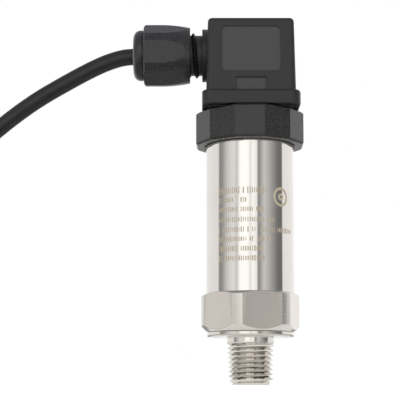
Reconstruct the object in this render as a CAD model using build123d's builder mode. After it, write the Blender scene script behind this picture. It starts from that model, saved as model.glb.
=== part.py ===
from build123d import *
import os
from math import cos, pi, radians, sin, tan

# A stainless pressure transmitter with a moulded elbow plug, a cable gland and a pre-wired lead.
# Millimetres, +Z up. The origin is the centre of the process thread's free end.
# The gland points towards -X and the plug's label side towards -Y.

os.makedirs("parts", exist_ok=True)

# Clearances
press_gap = 0.02
slide_gap = 0.05
loose_gap = 0.1

# Process fitting: 1/4-18 taper thread drawn as its crest cone, neck, flange and hexagon
thread_length = 12.5
thread_top_d = 13.9
thread_taper = 1 / 16
tip_d = 11.2
tip_chamfer = 1.2
port_d = 5.0
port_chamfer = 0.5
neck_d = 14.1
neck_height = 1.65
flange_d = 26.0
flange_height = 1.55
flange_edge_r = 0.5
hex_af = 27.0
hex_height = 11.4
hex_yaw = 12.3
hex_turned_d = 29.5
hex_under_d = 26.1
hex_under_angle = 45
hex_top_d = 26.7
hex_top_angle = 30
hex_crown = 0.06
spigot_height = 3.9

# Sensor cell, its seal and the ring that holds it
cell_d = 19.0
cell_height = 8.0
cell_edge = 0.4
cell_pocket_depth = 13.0
cell_seal_d = 10.0
cell_seal_section = 1.3
retainer_height = 3.0
retainer_bore = 12.0
retainer_slot = 2.0
retainer_slot_depth = 1.2

# Case tube
tube_d = 26.5
tube_wall = 1.0
tube_length = 49.9

# Circuit board, its carrier and the wires at both ends
board_side_gap = 3.25
board_end_gap = 1.3
board_thickness = 1.6
carrier_foot = 2.5
carrier_web = 1.2
carrier_head_drop = 8.2
carrier_head = 2.0
rail_width = 4.4
rail_depth = 2.6
lead_d = 0.6
lead_pitch = 2.5
lead_count = 4
lead_overlap = 3.6
lead_window = (11.0, 3.2)
signal_d = 1.0
signal_x = 4.0
signal_start = 4.6
signal_rise = 2.2

# Twelve-sided union ring
ring_af = 32.2
ring_sides = 12
ring_yaw = 13
ring_overlap = 5.35
ring_edge = 0.5
ring_lip_height = 1.85
ring_lip_bore = 22.2
ring_mouth = 0.6

# Plug base with its blades and threaded insert
base_flange_height = 2.5
base_spigot = 5.0
base_seal_section = 1.6
base_seal_drop = 2.4
blade_width = 6.3
blade_thickness = 0.8
blade_circle_r = 9.0
blade_height = 8.2
blade_tail = 2.5
blade_nose = 1.2
insert_d = 5.0
insert_length = 5.5
insert_bore = 3.0

# Face gasket under the plug
gasket_thickness = 0.95
gasket_side = 25.6
gasket_corner_r = 3.0

# Elbow housing
skirt_side = 29.1
skirt_gap = 0.35
skirt_height = 4.5
skirt_corner_r = 2.75
skirt_round = 0.9
skirt_under_round = 0.5
box_side = 26.48
box_height = 22.1
box_draft = 1.32
box_corner_r = 1.5
box_top_round = 1.4
housing_wall = 1.7
housing_roof = 2.0
cavity_corner_r = 0.8
label_width = 17.4
label_height = 13.6
label_corner_r = 1.6
label_depth = 0.3
label_centre_height = 12.5
notch_width = 8.85
notch_height = 3.85
notch_depth = 0.6
screw_well_d = 7.5
screw_well_depth = 3.0
boss_d = 9.0
boss_floor = 2.5

# Cable gland on the housing
gland_height = 18.4
collar_d = 15.9
collar_x = 14.4
relief_d = 11.6
relief_length = 1.0
spout_d = 13.9
spout_end_x = 26.0
spout_edge = 0.6
spout_bore = 9.6
grommet_depth = 8.0
passage_d = 6.0
grommet_stand = 0.6
washer_d = 12.4
washer_bore = 6.6
washer_thickness = 1.0

# Gland nut: hexagon and barrel turned together, domed lip
nut_back_x = 18.1
nut_hex_af = 17.3
nut_hex_yaw = 22.6
nut_back_d = 16.8
nut_mid_d = 18.0
nut_full_d = 18.56
nut_mid_x = 3.9
nut_full_x = 7.8
nut_hex_length = 14.0
nut_hex_edge = 0.5
nut_groove_d = 14.9
nut_groove = 0.4
nut_lip_d = 15.3
nut_lip_length = 2.8
nut_lip_round = 2.2
nut_bore = 7.0
nut_mouth_round = 1.4

# Contact block, clamp cages, their screws and the cores inside the plug
block_height = 11.7
block_floor = 1.5
block_edge = 0.8
cage_width = 7.6
cage_depth = 4.4
cage_height = 9.6
cage_circle_r = 8.4
cage_slot_width = 6.7
cage_slot_depth = 2.4
cage_slot_height = 6.0
cage_wire_bore = 2.2
cage_wire_depth = 2.9
clamp_drop = 1.4
clamp_shank_d = 1.9
clamp_head_d = 3.6
clamp_head = 0.55
clamp_slot = 0.5
clamp_slot_depth = 0.25
core_d = 1.6
core_depth = 2.4
core_offset = 1.1
core_drop = 0.6
core_straight = 2.2
core_turn_x = 6.2

# Fixing screw and its seal
screw_d = 2.9
screw_reach = 5.0
screw_head_d = 5.6
screw_head = 2.0
screw_slot = 0.8
screw_slot_depth = 1.0
screw_seal_d = 6.8
screw_seal_height = 0.5

# Lead
cable_d = 5.0
cable_start_x = 12.6
hank_centre_x = -131.0
hank_straight = 48.0
hank_inner_r = 15.0
hank_outer_r = 20.0
hank_height = 20.0
hank_round = 2.4
tie_width = 6.0
tie_thickness = 0.8
tie_near_x = 4.0
tie_far_x = 17.0
tail_back = 13.0
tail_side = 1.0
tail_length = 18.0
tail_angle = 17.0
lead_core_straight = 4.0
lead_core_fan = 8.0
lead_core_spread = 3.2
ferrule_collar_d = 2.6
ferrule_collar = 4.0
ferrule_pin_d = 1.3
ferrule_pin = 5.5

# Heights that follow from the sizes above
neck_z = thread_length
flange_z = neck_z + neck_height
hex_z = flange_z + flange_height
seat_z = hex_z + hex_height
spigot_z = seat_z + spigot_height
cell_z = spigot_z - cell_pocket_depth
retainer_z = cell_z + cell_height
tube_z = seat_z + tube_length
ring_z = tube_z - ring_overlap
lip_z = tube_z + base_flange_height
base_z = lip_z + ring_lip_height
gasket_top_z = base_z + gasket_thickness
housing_z = base_z + skirt_gap
box_z = housing_z + skirt_height
top_z = box_z + box_height
gland_z = housing_z + gland_height
well_z = top_z - screw_well_depth

# Cross sizes that follow
tube_bore = tube_d - 2 * tube_wall
spigot_d = tube_bore - 2 * slide_gap
pocket_d = cell_d + 2 * loose_gap
thread_tip_d = thread_top_d - (thread_length - tip_chamfer) * thread_taper

gland_plane = Plane(origin=(0, 0, gland_z), x_dir=(-1, 0, 0), z_dir=(0, 1, 0))
gland_axis = Axis((0, 0, gland_z), (-1, 0, 0))


def box_half(z):
    """Half the drafted box's side at a height."""
    return box_side / 2 - (z - box_z) * tan(radians(box_draft))


def corner_radii(route):
    """For each corner of a wire's route, the arc that 0.45 of its shorter run allows."""
    runs = [Vector(b) - Vector(a) for a, b in zip(route, route[1:])]
    return [
        0.45 * min(first.length, second.length) / tan(radians(first.get_angle(second) / 2))
        for first, second in zip(runs, runs[1:])
    ]


def save(piece, name):
    piece.part.label = name
    export_step(piece.part, f"parts/{name}.step")


# Process fitting: the turned hexagon first, then the thread, neck, flange and spigot
hex_under_rise = (hex_turned_d - hex_under_d) / 2 * tan(radians(hex_under_angle))
hex_top_drop = (hex_turned_d - hex_top_d) / 2 * tan(radians(hex_top_angle))

with BuildPart() as process_fitting:
    with BuildSketch(Plane.XY.offset(hex_z)):
        RegularPolygon(hex_af / 2, 6, major_radius=False, rotation=hex_yaw)
    extrude(amount=hex_height)
    with BuildSketch(Plane.XZ):
        with BuildLine():
            Line((0, hex_z), (hex_under_d / 2, hex_z))
            SagittaArc((hex_under_d / 2, hex_z), (hex_turned_d / 2, hex_z + hex_under_rise), -hex_crown)
            Line((hex_turned_d / 2, hex_z + hex_under_rise), (hex_turned_d / 2, seat_z - hex_top_drop))
            SagittaArc((hex_turned_d / 2, seat_z - hex_top_drop), (hex_top_d / 2, seat_z), -hex_crown)
            Polyline((hex_top_d / 2, seat_z), (0, seat_z), (0, hex_z))
        make_face()
    revolve(axis=Axis.Z, mode=Mode.INTERSECT)
    with BuildSketch(Plane.XZ):
        with BuildLine():
            Polyline(
                (0, 0),
                (tip_d / 2, 0),
                (thread_tip_d / 2, tip_chamfer),
                (thread_top_d / 2, neck_z),
                (neck_d / 2, neck_z),
                (neck_d / 2, flange_z),
                (flange_d / 2, flange_z),
                (flange_d / 2, hex_z),
                (spigot_d / 2, hex_z),
                (spigot_d / 2, spigot_z),
                (0, spigot_z),
                close=True,
            )
        shank_face = make_face()
        fillet(shank_face.vertices().group_by(Axis.X)[-1], flange_edge_r)
    revolve(axis=Axis.Z)
    with BuildSketch(Plane.XY.offset(cell_z)):
        Circle(pocket_d / 2)
    extrude(amount=cell_pocket_depth, mode=Mode.SUBTRACT)
    with BuildSketch(Plane.XY.offset(cell_z)):
        Circle(cell_seal_d / 2 + cell_seal_section / 2 + press_gap)
        Circle(cell_seal_d / 2 - cell_seal_section / 2 - press_gap, mode=Mode.SUBTRACT)
    extrude(amount=-cell_seal_section - press_gap, mode=Mode.SUBTRACT)
    with BuildSketch(Plane.XY):
        Circle(port_d / 2)
    extrude(amount=cell_z, mode=Mode.SUBTRACT)
    tip_edges = process_fitting.faces().sort_by(Axis.Z)[0].edges()
    chamfer(tip_edges.sort_by(SortBy.RADIUS)[0], port_chamfer)
save(process_fitting, "process_fitting")

# Sensor cell: a ceramic disc on its seal
with BuildPart() as sensor_cell:
    with BuildSketch(Plane.XY.offset(cell_z)):
        Circle(cell_d / 2)
    extrude(amount=cell_height)
    chamfer(sensor_cell.edges().filter_by(GeomType.CIRCLE), cell_edge)
save(sensor_cell, "sensor_cell")

with BuildPart() as sensor_seal:
    with BuildSketch(Plane.XZ):
        with Locations((cell_seal_d / 2, cell_z - cell_seal_section / 2 - press_gap / 2)):
            Circle(cell_seal_section / 2 - press_gap)
    revolve(axis=Axis.Z)
save(sensor_seal, "sensor_seal")

with BuildPart() as cell_retainer:
    with BuildSketch(Plane.XY.offset(retainer_z)):
        Circle(pocket_d / 2 - slide_gap)
        Circle(retainer_bore / 2, mode=Mode.SUBTRACT)
    extrude(amount=retainer_height)
    with BuildSketch(Plane.XY.offset(retainer_z + retainer_height)):
        Rectangle(cell_d + 2, retainer_slot)
    extrude(amount=-retainer_slot_depth, mode=Mode.SUBTRACT)
save(cell_retainer, "cell_retainer")

# Circuit board stands upright in the tube, on the carrier's web over the spigot
board_z = spigot_z + carrier_web
board_top_z = tube_z - base_spigot - blade_tail - board_end_gap
board_length = board_top_z - board_z
board_width = tube_bore - 2 * board_side_gap
head_z = board_top_z - carrier_head_drop

with BuildPart() as circuit_board:
    with BuildSketch(Plane.XY.offset(board_z)):
        Rectangle(board_width, board_thickness)
    extrude(amount=board_length)
save(circuit_board, "circuit_board")

# Chips: side of the board, place across it, height over its foot, width, height and thickness
low_chips = [
    (-1, -3.6, 11.0, 7.0, 7.0, 1.2),
    (-1, 4.6, 10.0, 4.0, 5.0, 1.6),
    (1, -4.5, 9.0, 5.0, 4.4, 2.4),
    (1, 3.0, 10.0, 7.0, 6.0, 1.6),
]
# The upper ones are placed by their drop under the carrier's head
high_chips = [(-1, 0.0, 4.0, 9.0, 7.5, 2.2), (1, -2.0, 4.3, 6.0, 6.0, 2.8)]

with BuildPart() as board_chips:
    for side, x, rise, width, tall, thick in low_chips:
        with Locations((x, side * (board_thickness + thick) / 2, board_z + rise)):
            Box(width, thick, tall)
    for side, x, drop, width, tall, thick in high_chips:
        with Locations((x, side * (board_thickness + thick) / 2, head_z - drop)):
            Box(width, thick, tall)
save(board_chips, "board_chips")

# Moulded carrier: foot, head and two grooved rails in one
rail_x = board_width / 2 + rail_depth / 2 - 0.4
with BuildPart() as board_carrier:
    for disc_z, disc_height in ((spigot_z, carrier_foot), (head_z, carrier_head)):
        with BuildSketch(Plane.XY.offset(disc_z)):
            Circle(tube_bore / 2 - loose_gap)
            with Locations((0, -board_thickness / 2 - lead_window[1] / 2)):
                Rectangle(*lead_window, mode=Mode.SUBTRACT)
        extrude(amount=disc_height)
    with BuildSketch(Plane.XY.offset(spigot_z)):
        with Locations((-rail_x, 0), (rail_x, 0)):
            Rectangle(rail_depth, rail_width)
    extrude(amount=head_z - spigot_z)
    with BuildSketch(Plane.XY.offset(board_z)):
        Rectangle(board_width + 2 * slide_gap, board_thickness + 2 * slide_gap)
    extrude(amount=board_length, mode=Mode.SUBTRACT)
save(board_carrier, "board_carrier")

with BuildPart() as sensor_leads:
    lead_y = -board_thickness / 2 - lead_d / 2 - press_gap
    with BuildSketch(Plane.XY.offset(retainer_z)):
        with Locations((0, lead_y)):
            with GridLocations(lead_pitch, 1, lead_count, 1):
                Circle(lead_d / 2)
    extrude(amount=board_z + lead_overlap - retainer_z)
save(sensor_leads, "sensor_leads")

# Case tube stands on the hexagon
with BuildPart() as case_tube:
    with BuildSketch(Plane.XY.offset(seat_z)):
        Circle(tube_d / 2)
        Circle(tube_bore / 2, mode=Mode.SUBTRACT)
    extrude(amount=tube_length)
save(case_tube, "case_tube")

# Union ring: over the tube's end, with a lip that holds the plug base down
with BuildPart() as ring_nut:
    with BuildSketch(Plane.XY.offset(ring_z)):
        RegularPolygon(ring_af / 2, ring_sides, major_radius=False, rotation=ring_yaw)
    extrude(amount=base_z - ring_z)
    ring_ends = ring_nut.faces().filter_by(Axis.Z)
    chamfer(ring_ends.edges(), ring_edge)
    with BuildSketch(Plane.XZ):
        with BuildLine():
            Polyline(
                (0, ring_z),
                (tube_d / 2 + slide_gap + ring_mouth, ring_z),
                (tube_d / 2 + slide_gap, ring_z + ring_mouth),
                (tube_d / 2 + slide_gap, lip_z + press_gap),
                (ring_lip_bore / 2, lip_z + press_gap),
                (ring_lip_bore / 2, base_z),
                (0, base_z),
                close=True,
            )
        make_face()
    revolve(axis=Axis.Z, mode=Mode.SUBTRACT)
save(ring_nut, "ring_nut")

# Plug base: spigot in the tube, flange on its rim, boss up through the ring's lip
seal_z = tube_z - base_seal_drop
seal_groove_r = tube_bore / 2 - base_seal_section - press_gap

with BuildPart() as plug_base:
    with BuildSketch(Plane.XZ):
        with BuildLine():
            Polyline(
                (0, tube_z - base_spigot),
                (spigot_d / 2, tube_z - base_spigot),
                (spigot_d / 2, seal_z - base_seal_section / 2 - press_gap),
                (seal_groove_r, seal_z - base_seal_section / 2 - press_gap),
                (seal_groove_r, seal_z + base_seal_section / 2 + press_gap),
                (spigot_d / 2, seal_z + base_seal_section / 2 + press_gap),
                (spigot_d / 2, tube_z),
                (tube_d / 2 - slide_gap, tube_z),
                (tube_d / 2 - slide_gap, lip_z),
                (ring_lip_bore / 2 - loose_gap, lip_z),
                (ring_lip_bore / 2 - loose_gap, base_z),
                (0, base_z),
                close=True,
            )
        make_face()
    revolve(axis=Axis.Z)
    with BuildSketch(Plane.XY.offset(base_z)):
        Circle(insert_d / 2)
    extrude(amount=-insert_length, mode=Mode.SUBTRACT)
    with BuildSketch(Plane.XY.offset(base_z)):
        with PolarLocations(blade_circle_r, 4):
            Rectangle(blade_thickness + 2 * press_gap, blade_width + 2 * press_gap)
    extrude(amount=-(base_z - tube_z + base_spigot), mode=Mode.SUBTRACT)
save(plug_base, "plug_base")

with BuildPart() as tube_seal:
    with BuildSketch(Plane.XZ):
        with Locations((tube_bore / 2 - base_seal_section / 2 - press_gap / 2, seal_z)):
            Circle(base_seal_section / 2 - press_gap / 2)
    revolve(axis=Axis.Z)
save(tube_seal, "tube_seal")

with BuildPart() as thread_insert:
    with BuildSketch(Plane.XY.offset(base_z - insert_length)):
        Circle(insert_d / 2 - press_gap)
        Circle(insert_bore / 2, mode=Mode.SUBTRACT)
    extrude(amount=insert_length)
save(thread_insert, "thread_insert")

# Four tab blades on a circle: towards +X, +Y, -X (the earth) and -Y
blade_names = ["contact_blade_3", "contact_blade_2", "earth_blade", "contact_blade_1"]
blade_bottom_z = tube_z - base_spigot - blade_tail
blade_top_z = base_z + blade_height

for i, blade_name in enumerate(blade_names):
    with BuildPart() as blade:
        turned = Plane.XY.rotated((0, 0, 90 * i)).offset(blade_bottom_z)
        with BuildSketch(turned):
            with Locations((blade_circle_r, 0)):
                Rectangle(blade_thickness, blade_width)
        extrude(amount=blade_top_z - blade_bottom_z)
        nose_edges = blade.faces().sort_by(Axis.Z)[-1].edges().sort_by(SortBy.LENGTH)[:2]
        chamfer(nose_edges, blade_nose)
    save(blade, blade_name)

# Wires from the board's top to the two signal blades
signal_z = board_top_z - signal_start
for i, side in enumerate((-1, 1)):
    start_y = side * (board_thickness / 2 + signal_d / 2 + press_gap)
    rise_z = board_top_z - signal_rise
    with BuildPart() as signal_lead:
        with BuildLine():
            FilletPolyline(
                (signal_x * side, start_y, signal_z),
                (signal_x * side, start_y, rise_z),
                (0, side * blade_circle_r, rise_z),
                (0, side * blade_circle_r, blade_bottom_z),
                radius=[signal_d, signal_d],
            )
        with BuildSketch(Plane.XY.offset(signal_z)):
            with Locations((signal_x * side, start_y)):
                Circle(signal_d / 2)
        sweep()
    save(signal_lead, f"signal_lead_{i + 1}")

# Face gasket between the ring and the plug
with BuildPart() as face_gasket:
    with BuildSketch(Plane.XY.offset(base_z)):
        RectangleRounded(gasket_side, gasket_side, gasket_corner_r)
        Circle(insert_d / 2, mode=Mode.SUBTRACT)
        with PolarLocations(blade_circle_r, 4):
            Rectangle(blade_thickness + 4 * loose_gap, blade_width + 4 * loose_gap, mode=Mode.SUBTRACT)
    extrude(amount=gasket_thickness)
save(face_gasket, "face_gasket")

# Elbow housing: skirt, drafted box, collar and threaded spout, hollow from below
cavity_side = box_side - 2 * housing_wall
roof_z = top_z - housing_roof
boss_z = well_z - boss_floor

with BuildPart() as elbow_housing:
    with BuildSketch(Plane.XY.offset(housing_z)):
        RectangleRounded(skirt_side, skirt_side, skirt_corner_r)
    extrude(amount=skirt_height)
    fillet(elbow_housing.faces().sort_by(Axis.Z)[-1].edges(), skirt_round)
    fillet(elbow_housing.faces().sort_by(Axis.Z)[0].edges(), skirt_under_round)
    with BuildSketch(Plane.XY.offset(box_z)):
        RectangleRounded(box_side, box_side, box_corner_r)
    extrude(amount=box_height, taper=box_draft)
    fillet(elbow_housing.faces().sort_by(Axis.Z)[-1].edges(), box_top_round)
    with BuildSketch(gland_plane):
        with BuildLine():
            Polyline(
                (box_half(gland_z) - housing_wall, 0),
                (box_half(gland_z) - housing_wall, collar_d / 2),
                (collar_x, collar_d / 2),
                (collar_x, relief_d / 2),
                (collar_x + relief_length, relief_d / 2),
                (collar_x + relief_length + spout_edge, spout_d / 2),
                (spout_end_x - spout_edge, spout_d / 2),
                (spout_end_x, spout_d / 2 - spout_edge),
                (spout_end_x, 0),
                close=True,
            )
        make_face()
    revolve(axis=gland_axis)
    with BuildSketch(Plane.XY.offset(housing_z)):
        RectangleRounded(cavity_side, cavity_side, cavity_corner_r)
    extrude(amount=roof_z - housing_z, taper=box_draft, mode=Mode.SUBTRACT)
    with BuildSketch(Plane.XY.offset(housing_z)):
        RectangleRounded(gasket_side + 2 * loose_gap, gasket_side + 2 * loose_gap, gasket_corner_r + loose_gap)
    extrude(amount=gasket_top_z - housing_z, mode=Mode.SUBTRACT)
    with BuildSketch(Plane.XY.offset(boss_z)):
        Circle(boss_d / 2)
    extrude(amount=roof_z - boss_z)
    with BuildSketch(Plane.XY.offset(top_z)):
        Circle(screw_well_d / 2)
    extrude(amount=-screw_well_depth, mode=Mode.SUBTRACT)
    with BuildSketch(Plane.XY.offset(boss_z)):
        Circle(screw_d / 2 + loose_gap)
    extrude(amount=well_z - boss_z, mode=Mode.SUBTRACT)
    with BuildSketch(gland_plane):
        with BuildLine():
            Polyline(
                (box_half(gland_z) - 2 * housing_wall, 0),
                (box_half(gland_z) - 2 * housing_wall, passage_d / 2),
                (spout_end_x - grommet_depth, passage_d / 2),
                (spout_end_x - grommet_depth, spout_bore / 2),
                (spout_end_x, spout_bore / 2),
                (spout_end_x, 0),
                close=True,
            )
        make_face()
    revolve(axis=gland_axis, mode=Mode.SUBTRACT)
    for side in (-1, 1):
        label_z = box_z + label_centre_height
        lean = radians(box_draft)
        wall_normal = (0, side * cos(lean), sin(lean))
        wall_x = (-side, 0, 0)
        with BuildSketch(Plane((0, side * box_half(label_z), label_z), x_dir=wall_x, z_dir=wall_normal)):
            RectangleRounded(label_width, label_height, label_corner_r)
        extrude(amount=-label_depth, mode=Mode.SUBTRACT)
        with BuildSketch(Plane((0, side * box_half(box_z), box_z), x_dir=wall_x, z_dir=wall_normal)):
            with Locations((0, notch_height / 2)):
                Rectangle(notch_width, notch_height)
        extrude(amount=-notch_depth, mode=Mode.SUBTRACT)
save(elbow_housing, "elbow_housing")

# Grommet, thrust washer and the nut that squeezes them
grommet_x = spout_end_x - grommet_depth
washer_x = spout_end_x + grommet_stand
seat_x = washer_x + washer_thickness
nut_end_x = nut_back_x + nut_hex_length + nut_groove + nut_lip_length

grommet_r = spout_bore / 2 - loose_gap
grommet_hole_r = cable_d / 2 + slide_gap

with BuildPart() as gland_grommet:
    with BuildSketch(gland_plane):
        with Locations(((grommet_x + washer_x) / 2, (grommet_r + grommet_hole_r) / 2)):
            Rectangle(washer_x - grommet_x, grommet_r - grommet_hole_r)
    revolve(axis=gland_axis)
save(gland_grommet, "gland_grommet")

with BuildPart() as gland_washer:
    with BuildSketch(gland_plane):
        with Locations(((washer_x + seat_x) / 2, (washer_d + washer_bore) / 4)):
            Rectangle(washer_thickness, (washer_d - washer_bore) / 2)
    revolve(axis=gland_axis)
save(gland_washer, "gland_washer")

with BuildPart() as gland_nut:
    nut_plane = Plane((-nut_back_x, 0, gland_z), x_dir=(0, -1, 0), z_dir=(-1, 0, 0))
    with BuildSketch(nut_plane):
        RegularPolygon(nut_hex_af / 2, 6, major_radius=False, rotation=nut_hex_yaw)
    extrude(amount=nut_hex_length)
    with BuildSketch(gland_plane):
        with BuildLine():
            ThreePointArc(
                (nut_back_x, nut_back_d / 2),
                (nut_back_x + nut_mid_x, nut_mid_d / 2),
                (nut_back_x + nut_full_x, nut_full_d / 2),
            )
            Polyline(
                (nut_back_x + nut_full_x, nut_full_d / 2),
                (nut_back_x + nut_hex_length - nut_hex_edge, nut_full_d / 2),
                (nut_back_x + nut_hex_length, nut_full_d / 2 - nut_hex_edge),
                (nut_back_x + nut_hex_length, 0),
                (nut_back_x, 0),
                (nut_back_x, nut_back_d / 2),
            )
        make_face()
    revolve(axis=gland_axis, mode=Mode.INTERSECT)
    lip_x = nut_back_x + nut_hex_length + nut_groove
    with BuildSketch(gland_plane):
        with BuildLine():
            Polyline(
                (nut_back_x + nut_hex_length - nut_groove, 0),
                (nut_back_x + nut_hex_length - nut_groove, nut_groove_d / 2),
                (lip_x, nut_groove_d / 2),
                (lip_x, nut_lip_d / 2),
                (nut_end_x, nut_lip_d / 2),
                (nut_end_x, 0),
                close=True,
            )
        lip_face = make_face()
        fillet(lip_face.vertices().group_by(Axis.X)[-1].sort_by(Axis.Y)[-1], nut_lip_round)
    revolve(axis=gland_axis)
    with BuildSketch(gland_plane):
        with BuildLine():
            Polyline(
                (nut_back_x, 0),
                (nut_back_x, spout_d / 2 + slide_gap),
                (seat_x, spout_d / 2 + slide_gap),
                (seat_x, nut_bore / 2),
                (nut_end_x - nut_mouth_round, nut_bore / 2),
            )
            RadiusArc(
                (nut_end_x - nut_mouth_round, nut_bore / 2),
                (nut_end_x, nut_bore / 2 + nut_mouth_round),
                nut_mouth_round,
            )
            Polyline((nut_end_x, nut_bore / 2 + nut_mouth_round), (nut_end_x, 0), (nut_back_x, 0))
        make_face()
    revolve(axis=gland_axis, mode=Mode.SUBTRACT)
save(gland_nut, "gland_nut")

# Contact block: four pockets with clamp cages, a slot under each for its blade, a hole for each screw
cage_z = gasket_top_z + block_floor
cage_top_z = cage_z + cage_height
block_side = cavity_side - 2 * block_height * tan(radians(box_draft)) - 2 * loose_gap
clamp_z = cage_top_z - clamp_drop


def outward_plane(quarter_turns, distance):
    """A plane at the clamp screws' height that faces away from the plug's middle."""
    angle = radians(90 * quarter_turns)
    away = (cos(angle), sin(angle), 0)
    return Plane((0, 0, clamp_z), x_dir=(0, 0, 1), z_dir=away).offset(distance)


with BuildPart() as contact_block:
    with BuildSketch(Plane.XY.offset(gasket_top_z)):
        Rectangle(block_side, block_side)
    extrude(amount=block_height)
    chamfer(contact_block.edges().filter_by(Axis.Z), block_edge)
    with BuildSketch(Plane.XY.offset(cage_z)):
        with PolarLocations(cage_circle_r, 4):
            Rectangle(cage_depth + 2 * slide_gap, cage_width + 2 * slide_gap)
    extrude(amount=block_height - block_floor, mode=Mode.SUBTRACT)
    with BuildSketch(Plane.XY.offset(gasket_top_z)):
        with PolarLocations(blade_circle_r, 4):
            Rectangle(blade_thickness + 4 * loose_gap, blade_width + 2 * loose_gap)
        Circle(screw_d / 2 + 2 * loose_gap)
    extrude(amount=block_floor, mode=Mode.SUBTRACT)
    with BuildSketch(Plane.XY.offset(gasket_top_z)):
        Circle(screw_d / 2 + 2 * loose_gap)
    extrude(amount=block_height, mode=Mode.SUBTRACT)
    for i in range(4):
        with BuildSketch(outward_plane(i, cage_circle_r)):
            Circle(clamp_head_d / 2 + loose_gap)
        extrude(amount=block_side / 2 - cage_circle_r, mode=Mode.SUBTRACT)
save(contact_block, "contact_block")

for i in range(4):
    turned = Plane.XY.rotated((0, 0, 90 * i))
    cage_face_r = cage_circle_r + cage_depth / 2
    with BuildPart() as clamp_cage:
        with BuildSketch(turned.offset(cage_z)):
            with Locations((cage_circle_r, 0)):
                Rectangle(cage_depth, cage_width)
        extrude(amount=cage_height)
        with BuildSketch(turned.offset(cage_z)):
            with Locations((blade_circle_r, 0)):
                Rectangle(cage_slot_depth, cage_slot_width)
        extrude(amount=cage_slot_height, mode=Mode.SUBTRACT)
        with BuildSketch(turned.offset(cage_top_z)):
            with Locations((cage_circle_r, 0)):
                Circle(cage_wire_bore / 2)
        extrude(amount=-cage_wire_depth, mode=Mode.SUBTRACT)
        with BuildSketch(outward_plane(i, cage_circle_r)):
            Circle(clamp_shank_d / 2 + slide_gap)
        extrude(amount=cage_depth / 2, mode=Mode.SUBTRACT)
    save(clamp_cage, f"clamp_cage_{i + 1}")
    with BuildPart() as clamp_screw:
        with BuildSketch(outward_plane(i, cage_circle_r + core_d / 2 + slide_gap)):
            Circle(clamp_shank_d / 2)
        extrude(amount=cage_depth / 2 - core_d / 2 - slide_gap)
        with BuildSketch(outward_plane(i, cage_face_r)):
            Circle(clamp_head_d / 2)
        extrude(amount=clamp_head)
        with BuildSketch(outward_plane(i, cage_face_r + clamp_head)):
            Rectangle(clamp_head_d + 1, clamp_slot)
        extrude(amount=-clamp_slot_depth, mode=Mode.SUBTRACT)
    save(clamp_screw, f"clamp_screw_{i + 1}")

# Cores inside the plug, from the end of the jacket down into their cages: -Y, +Y and -X
core_end_z = cage_top_z - core_depth
low_core_z = gland_z - core_drop
high_core_z = gland_z + core_offset

for i, side in enumerate((-1, 1)):
    route = [
        (-cable_start_x, side * core_offset, low_core_z),
        (-cable_start_x + core_straight, side * core_offset, low_core_z),
        (-core_turn_x, side * cage_circle_r, low_core_z),
        (0, side * cage_circle_r, low_core_z),
        (0, side * cage_circle_r, core_end_z),
    ]
    with BuildPart() as core:
        with BuildLine() as core_line:
            FilletPolyline(*route, radius=corner_radii(route))
        with BuildSketch(Plane(core_line.line @ 0, z_dir=core_line.line % 0)):
            Circle(core_d / 2)
        sweep()
    save(core, f"plug_core_{i + 1}")

with BuildPart() as plug_core_3:
    route = [
        (-cable_start_x, 0, high_core_z),
        (-cage_circle_r, 0, high_core_z),
        (-cage_circle_r, 0, core_end_z),
    ]
    with BuildLine() as core_line:
        FilletPolyline(*route, radius=corner_radii(route))
    with BuildSketch(Plane(core_line.line @ 0, z_dir=core_line.line % 0)):
        Circle(core_d / 2)
    sweep()
save(plug_core_3, "plug_core_3")

# Fixing screw through the plug into the insert, on its seal ring
head_bottom_z = well_z + screw_seal_height

with BuildPart() as screw_seal:
    with BuildSketch(Plane.XY.offset(well_z)):
        Circle(screw_seal_d / 2)
        Circle(screw_d / 2 + slide_gap, mode=Mode.SUBTRACT)
    extrude(amount=screw_seal_height)
save(screw_seal, "screw_seal")

with BuildPart() as fixing_screw:
    with BuildSketch(Plane.XY.offset(base_z - screw_reach)):
        Circle(screw_d / 2)
    extrude(amount=head_bottom_z - base_z + screw_reach)
    with BuildSketch(Plane.XY.offset(head_bottom_z)):
        Circle(screw_head_d / 2)
    extrude(amount=screw_head)
    with BuildSketch(Plane.XY.offset(head_bottom_z + screw_head)):
        Rectangle(screw_head_d + 1, screw_slot)
    extrude(amount=-screw_slot_depth, mode=Mode.SUBTRACT)
save(fixing_screw, "fixing_screw")

# Lead: out of the gland, drooping to the surface, onto a tied hank
cable_route = [
    (-cable_start_x, 0, gland_z),
    (-41.5, 0, gland_z),
    (-70.0, 0, 88.6),
    (-91.0, 3, 67.5),
    (-104.0, 9, 44.0),
    (-113.0, 14, 29.5),
    (-128.0, 19.5, 18.5),
    (-150.0, 20, 17.5),
]

cable_radii = corner_radii(cable_route)
print("cable radii", [round(r, 1) for r in cable_radii])

with BuildPart() as cable_lead:
    with BuildLine() as cable_line:
        FilletPolyline(*cable_route, radius=cable_radii)
    with BuildSketch(Plane(cable_line.line @ 0, z_dir=cable_line.line % 0)):
        Circle(cable_d / 2)
    sweep()
cable_length = cable_line.wires()[0].length
print("cable lead", round(cable_length, 1), "mm, volume", round(cable_lead.part.volume, 1))
print("its section times its length", round(cable_length * pi * cable_d**2 / 4, 1))
save(cable_lead, "cable_lead")

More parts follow.
